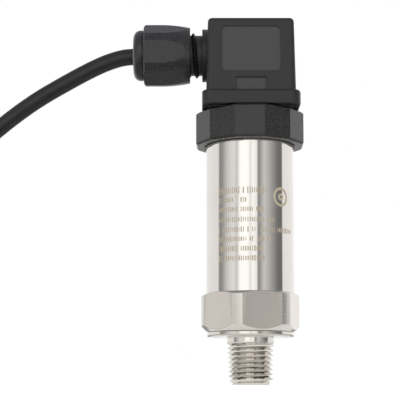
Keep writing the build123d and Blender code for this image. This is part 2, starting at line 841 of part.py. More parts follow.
# Hank: racetrack turns in four layers, waisted under its two ties, with the jacket's end inside the loop
bundle_width = hank_outer_r - hank_inner_r + cable_d
bundle_y = (hank_inner_r + hank_outer_r) / 2
tie_planes = [
    Plane((hank_centre_x + x - tie_width / 2, y, hank_height / 2), x_dir=(0, 1, 0), z_dir=(1, 0, 0))
    for x, y in ((tie_near_x, -bundle_y), (tie_far_x, bundle_y))
]
tail_start = Vector(hank_centre_x - tail_back, -hank_inner_r + tail_side, cable_d / 2)
tail_end = tail_start + Vector(tail_length, 0, 0).rotate(Axis.Z, tail_angle)
tail_along = (tail_end - tail_start).normalized()
tail_across = Vector(-tail_along.Y, tail_along.X, 0)

with BuildPart() as hank_ties:
    for tie_plane in tie_planes:
        with BuildSketch(tie_plane):
            RectangleRounded(bundle_width, hank_height, hank_round)
            RectangleRounded(
                bundle_width - 2 * tie_thickness,
                hank_height - 2 * tie_thickness,
                hank_round - tie_thickness,
                mode=Mode.SUBTRACT,
            )
        extrude(amount=tie_width)
save(hank_ties, "hank_ties")

with BuildPart() as cable_hank:
    with BuildSketch():
        with Locations((hank_centre_x, 0)):
            SlotCenterToCenter(hank_straight, 2 * hank_outer_r + cable_d)
            SlotCenterToCenter(hank_straight, 2 * hank_inner_r - cable_d, mode=Mode.SUBTRACT)
    extrude(amount=hank_height)
    fillet(cable_hank.faces().filter_by(Axis.Z).edges(), hank_round)
    for tie_plane in tie_planes:
        with BuildSketch(tie_plane):
            Rectangle(bundle_width + cable_d, hank_height + cable_d)
        extrude(amount=tie_width, mode=Mode.SUBTRACT)
        with BuildSketch(tie_plane):
            RectangleRounded(
                bundle_width - 2 * tie_thickness,
                hank_height - 2 * tie_thickness,
                hank_round - tie_thickness,
            )
        extrude(amount=tie_width)
    with BuildSketch(Plane(tail_start, z_dir=tail_along)):
        Circle(cable_d / 2)
    extrude(amount=tail_length)
save(cable_hank, "cable_hank")

# Bare end: three cores spread on the surface inside the loop, each with its ferrule
core_places = [(-1, low_core_z), (1, low_core_z), (0, high_core_z)]
ferrule_z = ferrule_collar_d / 2
ferrule_starts = []

for i, (side, start_z) in enumerate(core_places):
    start = tail_end + tail_across * side * core_offset + Vector(0, 0, start_z - gland_z)
    spread = tail_end + tail_across * side * lead_core_spread
    route = [
        start,
        start + tail_along * lead_core_straight,
        Vector(spread.X, spread.Y, ferrule_z) + tail_along * (lead_core_straight + lead_core_fan),
        Vector(spread.X, spread.Y, ferrule_z) + tail_along * (2 * lead_core_straight + lead_core_fan),
    ]
    with BuildPart() as core:
        with BuildLine() as core_line:
            FilletPolyline(*route, radius=corner_radii(route))
        with BuildSketch(Plane(core_line.line @ 0, z_dir=core_line.line % 0)):
            Circle(core_d / 2)
        sweep()
    save(core, f"lead_core_{i + 1}")
    ferrule_starts.append(route[-1])

with BuildPart() as core_ferrules:
    for start in ferrule_starts:
        with BuildSketch(Plane(start, z_dir=tail_along)):
            Circle(ferrule_collar_d / 2)
        extrude(amount=ferrule_collar)
        with BuildSketch(Plane(start + tail_along * ferrule_collar, z_dir=tail_along)):
            Circle(ferrule_pin_d / 2)
        extrude(amount=ferrule_pin)
save(core_ferrules, "core_ferrules")
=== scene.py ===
import bmesh
import bpy
from math import cos, pi, radians, sin
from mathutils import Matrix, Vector


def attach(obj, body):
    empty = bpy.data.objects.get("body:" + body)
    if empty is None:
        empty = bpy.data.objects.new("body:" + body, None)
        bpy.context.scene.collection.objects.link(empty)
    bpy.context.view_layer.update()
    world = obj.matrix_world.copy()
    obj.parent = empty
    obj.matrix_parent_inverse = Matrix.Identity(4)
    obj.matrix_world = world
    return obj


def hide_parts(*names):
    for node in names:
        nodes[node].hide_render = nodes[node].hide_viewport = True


# Pressure transmitter with an elbow plug and a pre-wired lead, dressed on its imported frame.
# The gland points towards -X, the label side towards -Y, the process thread down.

mm = 0.001


def toLinear(hexColour):
    channels = [int(hexColour[i:i + 2], 16) / 255 for i in (1, 3, 5)]
    return [c / 12.92 if c <= 0.04045 else ((c + 0.055) / 1.055) ** 2.4 for c in channels] + [1.0]


def addNode(tree, kind, inputs=None, **settings):
    # inputs maps a socket's name or place to a value, another node's output, or a node for its first one
    node = tree.nodes.new(kind)
    for name, value in settings.items():
        setattr(node, name, value)
    for key, value in (inputs or {}).items():
        socket = node.inputs[key]
        if isinstance(value, bpy.types.Node):
            value = value.outputs[0]
        if isinstance(value, bpy.types.NodeSocket):
            tree.links.new(value, socket)
        else:
            socket.default_value = value
    return node


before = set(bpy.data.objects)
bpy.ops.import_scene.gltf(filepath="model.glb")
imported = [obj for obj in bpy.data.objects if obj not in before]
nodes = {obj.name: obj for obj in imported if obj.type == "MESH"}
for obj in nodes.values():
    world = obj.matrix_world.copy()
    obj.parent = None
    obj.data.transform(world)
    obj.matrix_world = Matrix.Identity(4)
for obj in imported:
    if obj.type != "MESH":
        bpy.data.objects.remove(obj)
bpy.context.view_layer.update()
print("frame loaded:", len(nodes), "nodes")

# Camera: just above the surface, looking up at the transmitter as in the photograph
cameraSetup = {
    "place": (-15.072, -337.0, 1.1),
    "tiltUp": 6.128,
    "lens": 101.6,
    "shiftUp": 0.15,
}


def makeCamera(setup):
    data = bpy.data.cameras.new("photoCamera")
    data.sensor_width = 36
    data.lens = setup["lens"]
    data.shift_y = setup["shiftUp"]
    data.clip_start, data.clip_end = 0.01, 20
    camera = bpy.data.objects.new("photoCamera", data)
    bpy.context.scene.collection.objects.link(camera)
    camera.location = [c * mm for c in setup["place"]]
    camera.rotation_euler = (radians(90 + setup["tiltUp"]), 0, 0)
    bpy.context.scene.camera = camera


makeCamera(cameraSetup)
bpy.context.scene.view_settings.view_transform = "Standard"
print("camera placed")

# Studio: white all round to the eye. Metal sees a bright panel in front and grey cards beside it,
# which give the tube its upright stripes.
studio = {
    "stripes": [  # azimuth from the camera's side in degrees, brightness; a colour ramp holds 32
        (-180, 1.10), (-119, 1.09), (-92.5, 1.04), (-89.5, 0.34), (-80, 0.40), (-73, 0.56), (-67, 0.76),
        (-55, 0.96), (-45, 1.05), (-38, 0.86), (-34, 0.92), (-31, 1.30), (-27, 1.49), (-12, 1.53),
        (-6, 1.42), (-1.3, 1.10), (4, 1.42), (9, 1.33), (16, 1.15), (18, 0.32), (25, 0.50), (30, 0.70),
        (35.5, 0.83), (41, 0.73), (53, 0.53), (65, 0.35), (74, 0.24), (88.5, 0.20), (91, 1.10), (120, 1.14),
        (150, 1.17), (180, 1.10),
    ],
    "overhead": (0.5, 0.51, 0.56),
    # the panels end and the plain ceiling begins between these, the upward part of a direction
    "overheadFrom": 0.38,
    "overheadTo": 0.7,
    "plainLevel": 0.95,
    "warmth": (1.0, 0.995, 0.995),
    "floorSize": 6.0,
    "floorColour": "#e8e8e6",
    "floorGlow": 0.34,
    # in reflections the foot stands on white paper and the table round it is grey:
    # millimetres from the foot, and how much darker than the paper
    "table": [(0, 0.0), (32, 0.0), (46, 0.62), (200, 0.62), (310, 0.0)],
    "tableReach": 500.0,
}


def fillRamp(ramp, steps):
    # a new ramp has a stop at each end; the last step moves the one, the others are made in their places
    ramp.elements[0].position, ramp.elements[0].color = steps[0]
    ramp.elements[1].position, ramp.elements[1].color = steps[-1]
    for position, colour in steps[1:-1]:
        ramp.elements.new(position).color = colour


def makeWorld(setup):
    world = bpy.data.worlds.new("studio")
    bpy.context.scene.world = world
    world.use_nodes = True
    tree = world.node_tree
    tree.nodes.clear()
    direction = addNode(tree, "ShaderNodeTexCoord").outputs["Generated"]
    parts = addNode(tree, "ShaderNodeSeparateXYZ", {0: direction}).outputs
    away = addNode(tree, "ShaderNodeMath", {0: parts["Y"], 1: -1.0}, operation="MULTIPLY")
    azimuth = addNode(tree, "ShaderNodeMath", {0: parts["X"], 1: away}, operation="ARCTAN2")
    place = addNode(tree, "ShaderNodeMapRange", {"Value": azimuth, "From Min": -pi, "From Max": pi})
    ramp = addNode(tree, "ShaderNodeValToRGB", {0: place})
    steps = [((a + 180) / 360, [level * w for w in setup["warmth"]] + [1.0]) for a, level in setup["stripes"]]
    fillRamp(ramp.color_ramp, steps)
    height = addNode(
        tree, "ShaderNodeMapRange",
        {"Value": parts["Z"], "From Min": setup["overheadFrom"], "From Max": setup["overheadTo"]},
    )
    top = [*setup["overhead"], 1.0]
    seen = addNode(tree, "ShaderNodeMix", {0: height, 6: ramp, 7: top}, data_type="RGBA")
    rays = addNode(tree, "ShaderNodeLightPath").outputs
    mirror = addNode(tree, "ShaderNodeBackground", {"Color": seen.outputs[2], "Strength": 1.0})
    level = setup["plainLevel"]
    plain = addNode(tree, "ShaderNodeBackground", {"Color": (level, level, level, 1), "Strength": 1.0})
    white = addNode(tree, "ShaderNodeBackground", {"Color": (1, 1, 1, 1), "Strength": 1.0})
    lit = addNode(tree, "ShaderNodeMixShader", {0: rays["Is Glossy Ray"], 1: plain, 2: mirror})
    shown = addNode(tree, "ShaderNodeMixShader", {0: rays["Is Camera Ray"], 1: lit, 2: white})
    addNode(tree, "ShaderNodeOutputWorld", {"Surface": shown})


def makeFloor(setup):
    half = setup["floorSize"] / 2
    corners = [(-half, -half, 0), (half, -half, 0), (half, half, 0), (-half, half, 0)]
    mesh = bpy.data.meshes.new("floor")
    mesh.from_pydata(corners, [], [(0, 1, 2, 3)])
    floor = bpy.data.objects.new("floor", mesh)
    bpy.context.scene.collection.objects.link(floor)
    material = bpy.data.materials.new("paperSweep")
    material.use_nodes = True
    tree = material.node_tree
    tree.nodes.clear()
    paper = addNode(tree, "ShaderNodeBsdfDiffuse", {"Color": toLinear(setup["floorColour"])})
    rays = addNode(tree, "ShaderNodeLightPath").outputs
    direct = addNode(
        tree, "ShaderNodeMath", {0: rays["Is Camera Ray"], 1: rays["Is Glossy Ray"]}, operation="MAXIMUM"
    )
    lift = addNode(tree, "ShaderNodeMath", {0: direct, 1: setup["floorGlow"]}, operation="MULTIPLY")
    glow = addNode(tree, "ShaderNodeEmission", {"Color": (1, 1, 1, 1), "Strength": lift})
    both = addNode(tree, "ShaderNodeAddShader", {0: paper, 1: glow})
    place = addNode(tree, "ShaderNodeTexCoord").outputs["Object"]
    reach = addNode(tree, "ShaderNodeVectorMath", {0: place}, operation="LENGTH").outputs["Value"]
    share = addNode(tree, "ShaderNodeMapRange", {"Value": reach, "From Max": setup["tableReach"] * mm})
    table = addNode(tree, "ShaderNodeValToRGB", {0: share})
    steps = [(distance / setup["tableReach"], [darker] * 3 + [1.0]) for distance, darker in setup["table"]]
    fillRamp(table.color_ramp, steps)
    dim = addNode(tree, "ShaderNodeMath", {0: table, 1: rays["Is Glossy Ray"]}, operation="MULTIPLY")
    dark = addNode(tree, "ShaderNodeEmission", {"Color": (0, 0, 0, 1), "Strength": 0.0})
    shown = addNode(tree, "ShaderNodeMixShader", {0: dim, 1: both, 2: dark})
    addNode(tree, "ShaderNodeOutputMaterial", {"Surface": shown})
    mesh.materials.append(material)


makeWorld(studio)
makeFloor(studio)
print("studio made")

# Finishes. Grain sizes are real, in millimetres. Each line says what the finish gives the eye.
finishes = {
    # glass-filled nylon, moulded in a spark-eroded tool: dull black with a fine pale mottle
    "mouldedNylon": {
        "colour": "#161716", "other": "#212221", "grain": 0.5, "roughness": (0.38, 0.5),
        "bump": 0.014, "bumpGrain": 0.3, "edge": 0.22,
    },
    # the same nylon with the coarser texture of the hand-turned parts: specks that catch the light
    "texturedNylon": {
        "colour": "#151616", "other": "#2e2e2e", "grain": 0.5, "roughness": (0.26, 0.4),
        "bump": 0.022, "bumpGrain": 0.4, "edge": 0.25,
    },
    # the label panel's tool was left plain, so it is smoother and greyer than the wall round it
    "panelNylon": {
        "colour": "#333433", "other": "#393a39", "grain": 0.5, "roughness": (0.29, 0.33),
        "bump": 0.003, "bumpGrain": 0.3, "edge": 0.15,
    },
    # moulded nitrile rubber: near black, dusty, with no clear reflection
    "nitrileRubber": {
        "colour": "#1b1b1c", "other": "#262627", "grain": 0.6, "roughness": (0.6, 0.75),
        "bump": 0.01, "bumpGrain": 0.2, "edge": 0.1,
    },
    # turned brass: warm yellow, fine rings from the tool
    "turnedBrass": {
        "colour": "#c9a24f", "other": "#b58f42", "grain": 0.8, "roughness": (0.22, 0.34), "metallic": 1.0,
        "bump": 0.004, "bumpGrain": 0.12, "edge": 0.1,
    },
    # tin plate on pressed brass: soft silvery grey, cloudy
    "tinPlate": {
        "colour": "#c9c7c0", "other": "#b7b4ab", "grain": 1.6, "roughness": (0.24, 0.4), "metallic": 1.0,
        "bump": 0.003, "bumpGrain": 0.15, "edge": 0.08,
    },
    # bright zinc plate on cold-headed steel: bluish silver, slightly clouded
    "zincPlate": {
        "colour": "#c3c8cd", "other": "#aeb4ba", "grain": 1.2, "roughness": (0.22, 0.36), "metallic": 1.0,
        "bump": 0.004, "bumpGrain": 0.2, "edge": 0.12,
    },
    # sintered and ground alumina: warm white, matt, with grey specks
    "sinteredAlumina": {
        "colour": "#e9e6dc", "other": "#d6d2c6", "grain": 0.35, "roughness": (0.5, 0.62),
        "bump": 0.004, "bumpGrain": 0.1, "edge": 0.12,
    },
    # moulded epoxy chip bodies: charcoal, fine sand-like surface
    "mouldedEpoxy": {
        "colour": "#1f2022", "other": "#2c2d30", "grain": 0.2, "roughness": (0.5, 0.65),
        "bump": 0.006, "bumpGrain": 0.1, "edge": 0.1,
    },
    # natural nylon, moulded: milky, a little waxy
    "naturalNylon": {
        "colour": "#d9d5c8", "other": "#cdc8b9", "grain": 2.4, "roughness": (0.36, 0.46),
        "bump": 0.004, "bumpGrain": 0.5, "edge": 0.2,
    },
    # the soft jacket, extruded: satin black with a slight orange peel
    "satinJacket": {
        "colour": "#0d0e0f", "other": "#141517", "grain": 3.0, "roughness": (0.38, 0.48),
        "bump": 0.012, "bumpGrain": 0.9,
    },
    # laser-annealed marks: dry, pale beige, slightly uneven
    "laserMark": {
        "colour": "#c9bda4", "other": "#b9ac92", "grain": 0.4, "roughness": (0.55, 0.7),
        "bump": 0.002, "bumpGrain": 0.15,
    },
}
# extruded wire insulation: smooth, lightly glossy, faint draw lines
for finishName, colours in {
    "redInsulation": ("#a8201b", "#8f1a16"),
    "brownInsulation": ("#5b3a22", "#4e311c"),
    "blueInsulation": ("#27549b", "#214985"),
}.items():
    finishes[finishName] = {
        "colour": colours[0], "other": colours[1], "grain": 1.5, "roughness": (0.32, 0.42),
        "bump": 0.003, "bumpGrain": 0.4,
    }
made = {}


def startMaterial(name):
    material = bpy.data.materials.new(name)
    material.use_nodes = True
    material.node_tree.nodes.clear()
    made[name] = material
    return material.node_tree


def closeMaterial(tree, sockets):
    shader = addNode(tree, "ShaderNodeBsdfPrincipled", sockets)
    addNode(tree, "ShaderNodeOutputMaterial", {"Surface": shader})


def closeFinish(tree, look, colour, rough, height):
    relief = {"Height": height, "Distance": look["bump"] * mm, "Strength": 1.0}
    if "edge" in look:
        # rounds sharp edges for the light alone, as the tumbled or moulded edge of the real piece
        bevel = addNode(tree, "ShaderNodeBevel", {"Radius": look["edge"] * mm}, samples=6)
        relief["Normal"] = bevel
    bump = addNode(tree, "ShaderNodeBump", relief)
    closeMaterial(tree, {
        "Base Color": colour.outputs[2], "Metallic": look.get("metallic", 0.0),
        "Roughness": rough, "Normal": bump,
    })


def makeFinish(name, look):
    tree = startMaterial(name)
    place = addNode(tree, "ShaderNodeTexCoord").outputs["Object"]
    mottle = addNode(
        tree, "ShaderNodeTexNoise", {"Vector": place, "Scale": 1 / (look["grain"] * mm), "Detail": 3.0}
    )
    spread = addNode(tree, "ShaderNodeMapRange", {"Value": mottle, "From Min": 0.36, "From Max": 0.64})
    colour = addNode(
        tree, "ShaderNodeMix",
        {0: spread, 6: toLinear(look["colour"]), 7: toLinear(look["other"])}, data_type="RGBA",
    )
    low, high = look["roughness"]
    rough = addNode(tree, "ShaderNodeMapRange", {"Value": spread, "To Min": low, "To Max": high})
    fine = addNode(
        tree, "ShaderNodeTexNoise", {"Vector": place, "Scale": 1 / (look["bumpGrain"] * mm), "Detail": 2.0}
    )
    closeFinish(tree, look, colour, rough, fine)


for finishName, finishLook in finishes.items():
    makeFinish(finishName, finishLook)

# Stainless steel, turned and polished: neutral, with rings from the tool that run round the axis
steels = {
    # the case tube, fine ground and polished: clear upright reflections, hardly a line
    "polishedTube": {
        "colour": "#d8d5d0", "roughness": (0.05, 0.10), "line": 0.35, "bump": 0.0006, "edge": 0.15,
    },
    # the hexagon, milled and passivated: satin, greyer, with fine level lines
    "milledStainless": {
        "colour": "#cec8c0", "roughness": (0.13, 0.2), "line": 0.16, "bump": 0.002, "edge": 0.2,
    },
    # chamfers, flange and neck, skimmed on the lathe: brighter, the tool's rings are finer
    "turnedStainless": {
        "colour": "#d4d0ca", "roughness": (0.06, 0.12), "line": 0.2, "bump": 0.0015, "edge": 0.1,
    },
    # retaining ring and the hexagon's corners: as turned
    "ringStainless": {
        "colour": "#cdc9c2", "roughness": (0.26, 0.31), "line": 0.18, "bump": 0.002, "edge": 0.1,
    },
}
for steelLook in steels.values():
    steelLook["metallic"] = 1.0
# faint clouds on all of them, and how little the lines change across an end face
steelClouds = {"size": 9.0, "shade": 0.96, "stretch": 0.05}


def turnedPlace(tree):
    # object coordinates, the distance from the turned axis and the place along it
    place = addNode(tree, "ShaderNodeTexCoord").outputs["Object"]
    across = addNode(tree, "ShaderNodeVectorMath", {0: place, 1: (1, 1, 0)}, operation="MULTIPLY")
    radius = addNode(tree, "ShaderNodeVectorMath", {0: across}, operation="LENGTH").outputs["Value"]
    along = addNode(tree, "ShaderNodeSeparateXYZ", {0: place}).outputs["Z"]
    return place, radius, along


def turnedLines(tree, radius, along, spacing, stretch):
    # noise that changes along the axis and the radius, and not round them
    softened = addNode(tree, "ShaderNodeMath", {0: radius, 1: stretch}, operation="MULTIPLY")
    line = addNode(tree, "ShaderNodeCombineXYZ", {"X": softened, "Z": along})
    scale = 1 / (spacing * mm)
    return addNode(tree, "ShaderNodeTexNoise", {"Vector": line, "Scale": scale, "Detail": 3.0})


def closeSteel(tree, look, colour, lines):
    low, high = look["roughness"]
    rough = addNode(
        tree, "ShaderNodeMapRange",
        {"Value": lines, "From Min": 0.3, "From Max": 0.7, "To Min": low, "To Max": high},
    )
    closeFinish(tree, look, colour, rough, lines)


def makeSteel(name, look, clouds):
    tree = startMaterial(name)
    place, radius, along = turnedPlace(tree)
    lines = turnedLines(tree, radius, along, look["line"], clouds["stretch"])
    cloud = addNode(
        tree, "ShaderNodeTexNoise", {"Vector": place, "Scale": 1 / (clouds["size"] * mm), "Detail": 4.0}
    )
    shade = addNode(tree, "ShaderNodeMapRange", {"Value": cloud, "From Min": 0.3, "From Max": 0.7})
    base = toLinear(look["colour"])
    darker = [c * clouds["shade"] for c in base[:3]] + [1.0]
    colour = addNode(tree, "ShaderNodeMix", {0: shade, 6: base, 7: darker}, data_type="RGBA")
    closeSteel(tree, look, colour, lines)


for steelName, steelLook in steels.items():
    makeSteel(steelName, steelLook, steelClouds)

# Single-point cut thread: bright flanks, with a brownish film of cutting oil left in the roots; the roots'
# darker colour is also painted shade, where they lie in shade
cutSteel = {
    "colour": "#e4e1dc",
    "metallic": 1.0,
    "roughness": (0.05, 0.11),
    "line": 0.15,
    "bump": 0.002,
    # colour of the roots: a brownish oil film, and painted shade where the roots lie in shade
    "oilAndShade": "#66563f",
    "oilAndShadeDepths": (0.68, 0.92),  # it sets in between these shares of the thread's depth
    "oilAndShadePatch": 3.5,
    "oilAndShadeHeights": (2.5, 6.0),  # it thins between these heights over the tip
    "oilAndShadeThinned": 0.45,
    "oilAndShadeStart": 0.4,  # it sets in over this length past the tip's chamfer
}


def makeCutThread(spec, look):
    tree = startMaterial("cutThread")
    place, radius, along = turnedPlace(tree)
    lines = turnedLines(tree, radius, along, look["line"], 1.0)
    top = addNode(
        tree, "ShaderNodeMath", {0: along, 1: spec["Taper"] / 2, 2: spec["Crest Radius"] * mm},
        operation="MULTIPLY_ADD",
    )
    below = addNode(tree, "ShaderNodeMath", {0: top, 1: radius}, operation="SUBTRACT")
    first, last = (share * spec["Depth"] * mm for share in look["oilAndShadeDepths"])
    # painted shade and oil film: the roots are darkened between these depths
    root = addNode(tree, "ShaderNodeMapRange", {"Value": below, "From Min": first, "From Max": last})
    # the oil film, which also carries the painted shade in the roots, is patchy, and most of it stayed in the
    # turns near the tip, though not on the tip's chamfer
    patches = addNode(
        tree, "ShaderNodeTexNoise", {"Vector": place, "Scale": 1 / (look["oilAndShadePatch"] * mm), "Detail": 2.0}
    )
    spread = addNode(tree, "ShaderNodeMapRange", {"Value": patches, "From Min": 0.35, "From Max": 0.65})
    first, last = (height * mm for height in look["oilAndShadeHeights"])
    low = addNode(
        tree, "ShaderNodeMapRange",
        {"Value": along, "From Min": first, "From Max": last, "To Min": 1.0, "To Max": look["oilAndShadeThinned"]},
    )
    first = spec["Chamfer Length"] * mm
    last = (spec["Chamfer Length"] + look["oilAndShadeStart"]) * mm
    inTurns = addNode(tree, "ShaderNodeMapRange", {"Value": along, "From Min": first, "From Max": last})
    oilAndShade = root
    for share in (spread, low, inTurns):
        oilAndShade = addNode(tree, "ShaderNodeMath", {0: oilAndShade, 1: share}, operation="MULTIPLY")
    # the roots' painted shade and oil film mixed into the steel's colour
    colour = addNode(
        tree, "ShaderNodeMix", {0: oilAndShade, 6: toLinear(look["colour"]), 7: toLinear(look["oilAndShade"])},
        data_type="RGBA",
    )
    closeSteel(tree, look, colour, lines)


def makeLaminate():
    # glass laminate under green solder mask: copper runs show through as paler green lines
    tree = startMaterial("maskedLaminate")
    place = addNode(tree, "ShaderNodeTexCoord").outputs["Object"]
    turned = addNode(tree, "ShaderNodeMapping", {"Vector": place, "Rotation": (radians(90), 0, 0)})
    runs = addNode(
        tree, "ShaderNodeTexBrick",
        {"Vector": turned, "Scale": 1.0, "Mortar Size": 0.2 * mm, "Brick Width": 5 * mm,
         "Row Height": 1.3 * mm, "Color1": toLinear("#14532c"), "Color2": toLinear("#185c32"),
         "Mortar": toLinear("#2f7d49")},
        offset=0.37,
    )
    bump = addNode(
        tree, "ShaderNodeBump", {"Height": runs.outputs["Fac"], "Distance": 0.03 * mm, "Strength": 0.6}
    )
    closeMaterial(tree, {"Base Color": runs.outputs["Color"], "Roughness": 0.32, "Normal": bump})


def makeStripedInsulation():
    # protective earth core: green insulation with yellow bands that wind round it
    tree = startMaterial("greenYellowInsulation")
    place = addNode(tree, "ShaderNodeTexCoord").outputs["Object"]
    stripes = addNode(
        tree, "ShaderNodeTexWave",
        {"Vector": place, "Scale": 1 / (20 * mm), "Distortion": 0.6, "Detail": 1.0},
        bands_direction="DIAGONAL",
    )
    mix = addNode(
        tree, "ShaderNodeMapRange", {"Value": stripes.outputs["Fac"], "From Min": 0.45, "From Max": 0.55}
    )
    colour = addNode(
        tree, "ShaderNodeMix", {0: mix, 6: toLinear("#2f7a34"), 7: toLinear("#d6c22c")}, data_type="RGBA"
    )
    closeMaterial(tree, {"Base Color": colour.outputs[2], "Roughness": 0.36})


def makeWovenBand():
    # hook-and-loop band: matt black, woven, with a nap of tiny loops
    tree = startMaterial("wovenBand")
    place = addNode(tree, "ShaderNodeTexCoord").outputs["Object"]
    rows = addNode(tree, "ShaderNodeTexWave", {"Vector": place, "Scale": 1 / (2.4 * mm)}, bands_direction="X")
    loops = addNode(tree, "ShaderNodeTexVoronoi", {"Vector": place, "Scale": 1 / (0.5 * mm)})
    height = addNode(
        tree, "ShaderNodeMath", {0: rows.outputs["Fac"], 1: loops.outputs["Distance"]}, operation="MULTIPLY"
    )
    colour = addNode(
        tree, "ShaderNodeMix", {0: height, 6: toLinear("#161617"), 7: toLinear("#2d2d2f")}, data_type="RGBA"
    )
    bump = addNode(tree, "ShaderNodeBump", {"Height": height, "Distance": 0.12 * mm, "Strength": 0.8})
    closeMaterial(tree, {
        "Base Color": colour.outputs[2], "Roughness": 0.85, "Sheen Weight": 0.25, "Normal": bump,
    })


# Threads: the keys are the inputs of their node group, lengths in millimetres and angles in degrees.
# Process thread: 1/4-18 taper thread, right-hand, cut on the fitting's end
processThread = {
    "Length": 12.5,
    "Pitch": 1.411,
    "Crest Radius": 6.56,  # at the tip
    "Taper": 1 / 16,
    "Depth": 1.13,
    "Bore Radius": 2.5,
    "Chamfer Length": 1.4,
    "Chamfer Radius": 5.4,
    "Fade": 0.7,
    "Crest Share": 0.19,  # flat crest and the pair of flanks, as shares of the pitch
    "Flank Share": 0.78,
    "Last Turn": 40.0,
    "Relief Radius": 7.05,
    "Start Angle": 71.0,
    "Around": 96,
    "Per Pitch": 12,
    "Place": (0, 0, 0),
    "Turn": (0, 0, 0),
}
# Gland neck: moulded thread with a rounded crest
glandThread = {
    "Length": 11.55,
    "Pitch": 2.27,
    "Crest Radius": 6.95,
    "Taper": 0.0,
    "Depth": 0.85,
    "Bore Radius": 4.8,
    "Chamfer Length": 0.7,
    "Chamfer Radius": 6.3,
    "Fade": 0.05,
    "Crest Share": 0.06,
    "Flank Share": 0.5,
    "Last Turn": 4.0,  # the neck is plain past this turn
    "Relief Radius": 6.1,
    "Start Angle": 50.0,
    "Around": 96,
    "Per Pitch": 12,
    "Place": (-26.0, 0, 100.1),
    "Turn": (0, 90, 0),
}
threadLengths = (
    "Length", "Pitch", "Crest Radius", "Depth", "Bore Radius", "Chamfer Length", "Chamfer Radius", "Fade",
    "Relief Radius",
)
threadNumbers = ("Taper", "Start Angle", "Crest Share", "Flank Share", "Last Turn")
threadCounts = ("Around", "Per Pitch", "Rows")

makeCutThread(processThread, cutSteel)
makeLaminate()
makeStripedInsulation()
makeWovenBand()
print("finishes made:", len(made))


def linkPiece(mesh, name, body, slotName, *replaced):
    piece = bpy.data.objects.new(name, mesh)
    bpy.context.scene.collection.objects.link(piece)
    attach(piece, body)
    if replaced:
        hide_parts(*replaced)
    return piece


def plainMesh(source, name):
    # the evaluated object as a mesh of its own; the modifiers go with the source
    graph = bpy.context.evaluated_depsgraph_get()
    mesh = bpy.data.meshes.new_from_object(source.evaluated_get(graph))
    mesh.name = name
    source.modifiers.clear()
    bpy.data.objects.remove(source)
    return mesh


# degrees between faces up to which they are shaded as one surface
smoothUpTo = {"usual": 20, "shallow": 12, "thread": 50}


def smoothFaces(shape, angle):
    for face in shape.faces:
        face.smooth = True
    for edge in shape.edges:
        edge.smooth = edge.calc_face_angle(pi) < radians(angle)


def smoothCopy(node, name, angle, cut=None):
    # merged copy of a CAD node, shaded smooth between its facets; cut is (place, direction to drop)
    shape = bmesh.new()
    shape.from_mesh(nodes[node].data)
    bmesh.ops.remove_doubles(shape, verts=shape.verts, dist=1e-6)
    if cut:
        place, direction = cut
        result = bmesh.ops.bisect_plane(
            shape, geom=shape.verts[:] + shape.edges[:] + shape.faces[:], dist=1e-7,
            plane_co=[c * mm for c in place], plane_no=direction, clear_outer=True,
        )
        rim = [e for e in result["geom_cut"] if isinstance(e, bmesh.types.BMEdge)]
        bmesh.ops.triangle_fill(shape, use_beauty=True, edges=rim, normal=direction)
    smoothFaces(shape, angle)
    mesh = bpy.data.meshes.new(name)
    shape.to_mesh(mesh)
    shape.free()
    helper = bpy.data.objects.new(name, mesh)
    bpy.context.scene.collection.objects.link(helper)
    weighted = helper.modifiers.new("flatsStayFlat", "WEIGHTED_NORMAL")
    weighted.keep_sharp = True
    return plainMesh(helper, name)


# Round nodes get a smooth copy, flat ones keep the CAD mesh: slot and finish, then node and name
smoothNodes = {
    ("stainless_tube", "polishedTube"): {"case_tube": "caseTube"},
    ("stainless_turned", "ringStainless"): {"cell_retainer": "cellRetainer"},
    ("ceramic", "sinteredAlumina"): {"sensor_cell": "sensorCell"},
    ("seal_rubber", "nitrileRubber"): {
        "sensor_seal": "sensorSeal", "tube_seal": "tubeSeal", "face_gasket": "faceGasket",
        "gland_grommet": "glandGrommet", "screw_seal": "screwSeal",
    },
    ("wire_red", "redInsulation"): {
        "sensor_leads": "sensorLeads", "signal_lead_1": "signalLeadFront", "signal_lead_2": "signalLeadBack",
    },
    ("carrier_resin", "naturalNylon"): {"board_carrier": "boardCarrier"},
    ("black_nylon", "texturedNylon"): {"ring_nut": "unionRing", "gland_nut": "glandNut"},
    ("black_nylon", "mouldedNylon"): {"plug_base": "plugBase", "gland_washer": "glandWasher"},
    ("brass", "turnedBrass"): {"thread_insert": "threadInsert"},
    ("zinc_steel", "zincPlate"): {
        "clamp_screw_1": "clampScrewFront", "clamp_screw_2": "clampScrewBack",
        "clamp_screw_3": "clampScrewSide", "clamp_screw_4": "clampScrewEarth", "fixing_screw": "fixingScrew",
    },
    ("core_brown", "brownInsulation"): {"plug_core_1": "plugCoreBrown", "lead_core_1": "leadCoreBrown"},
    ("core_blue", "blueInsulation"): {"plug_core_2": "plugCoreBlue", "lead_core_2": "leadCoreBlue"},
    ("core_green", "greenYellowInsulation"): {"plug_core_3": "plugCoreEarth", "lead_core_3": "leadCoreEarth"},
    ("tinned_brass", "tinPlate"): {"core_ferrules": "coreFerrules"},
}
# each of these rides a body of its own name
ownBodies = ("gland_washer", "gland_nut", "screw_seal", "fixing_screw")
flatNodes = {
    "circuit_board": "maskedLaminate",
    "board_chips": "mouldedEpoxy",
    "earth_blade": "tinPlate",
    "contact_block": "mouldedNylon",
    **{f"contact_blade_{k}": "tinPlate" for k in (1, 2, 3)},
    **{f"clamp_cage_{k}": "turnedBrass" for k in (1, 2, 3, 4)},
}
pieces = {}
for (slotName, finishName), named in smoothNodes.items():
    for node, pieceName in named.items():
        limit = smoothUpTo["shallow" if node == "gland_nut" else "usual"]
        copied = smoothCopy(node, pieceName, limit)
        copied.materials.clear()
        copied.materials.append(made[finishName])
        body = node if node in ownBodies else "transmitter"
        pieces[pieceName] = linkPiece(copied, pieceName, body, slotName, node)
for node, finishName in flatNodes.items():
    data = nodes[node].data
    data.materials.clear()
    data.materials.append(made[finishName])
print("copies made:", len(pieces))

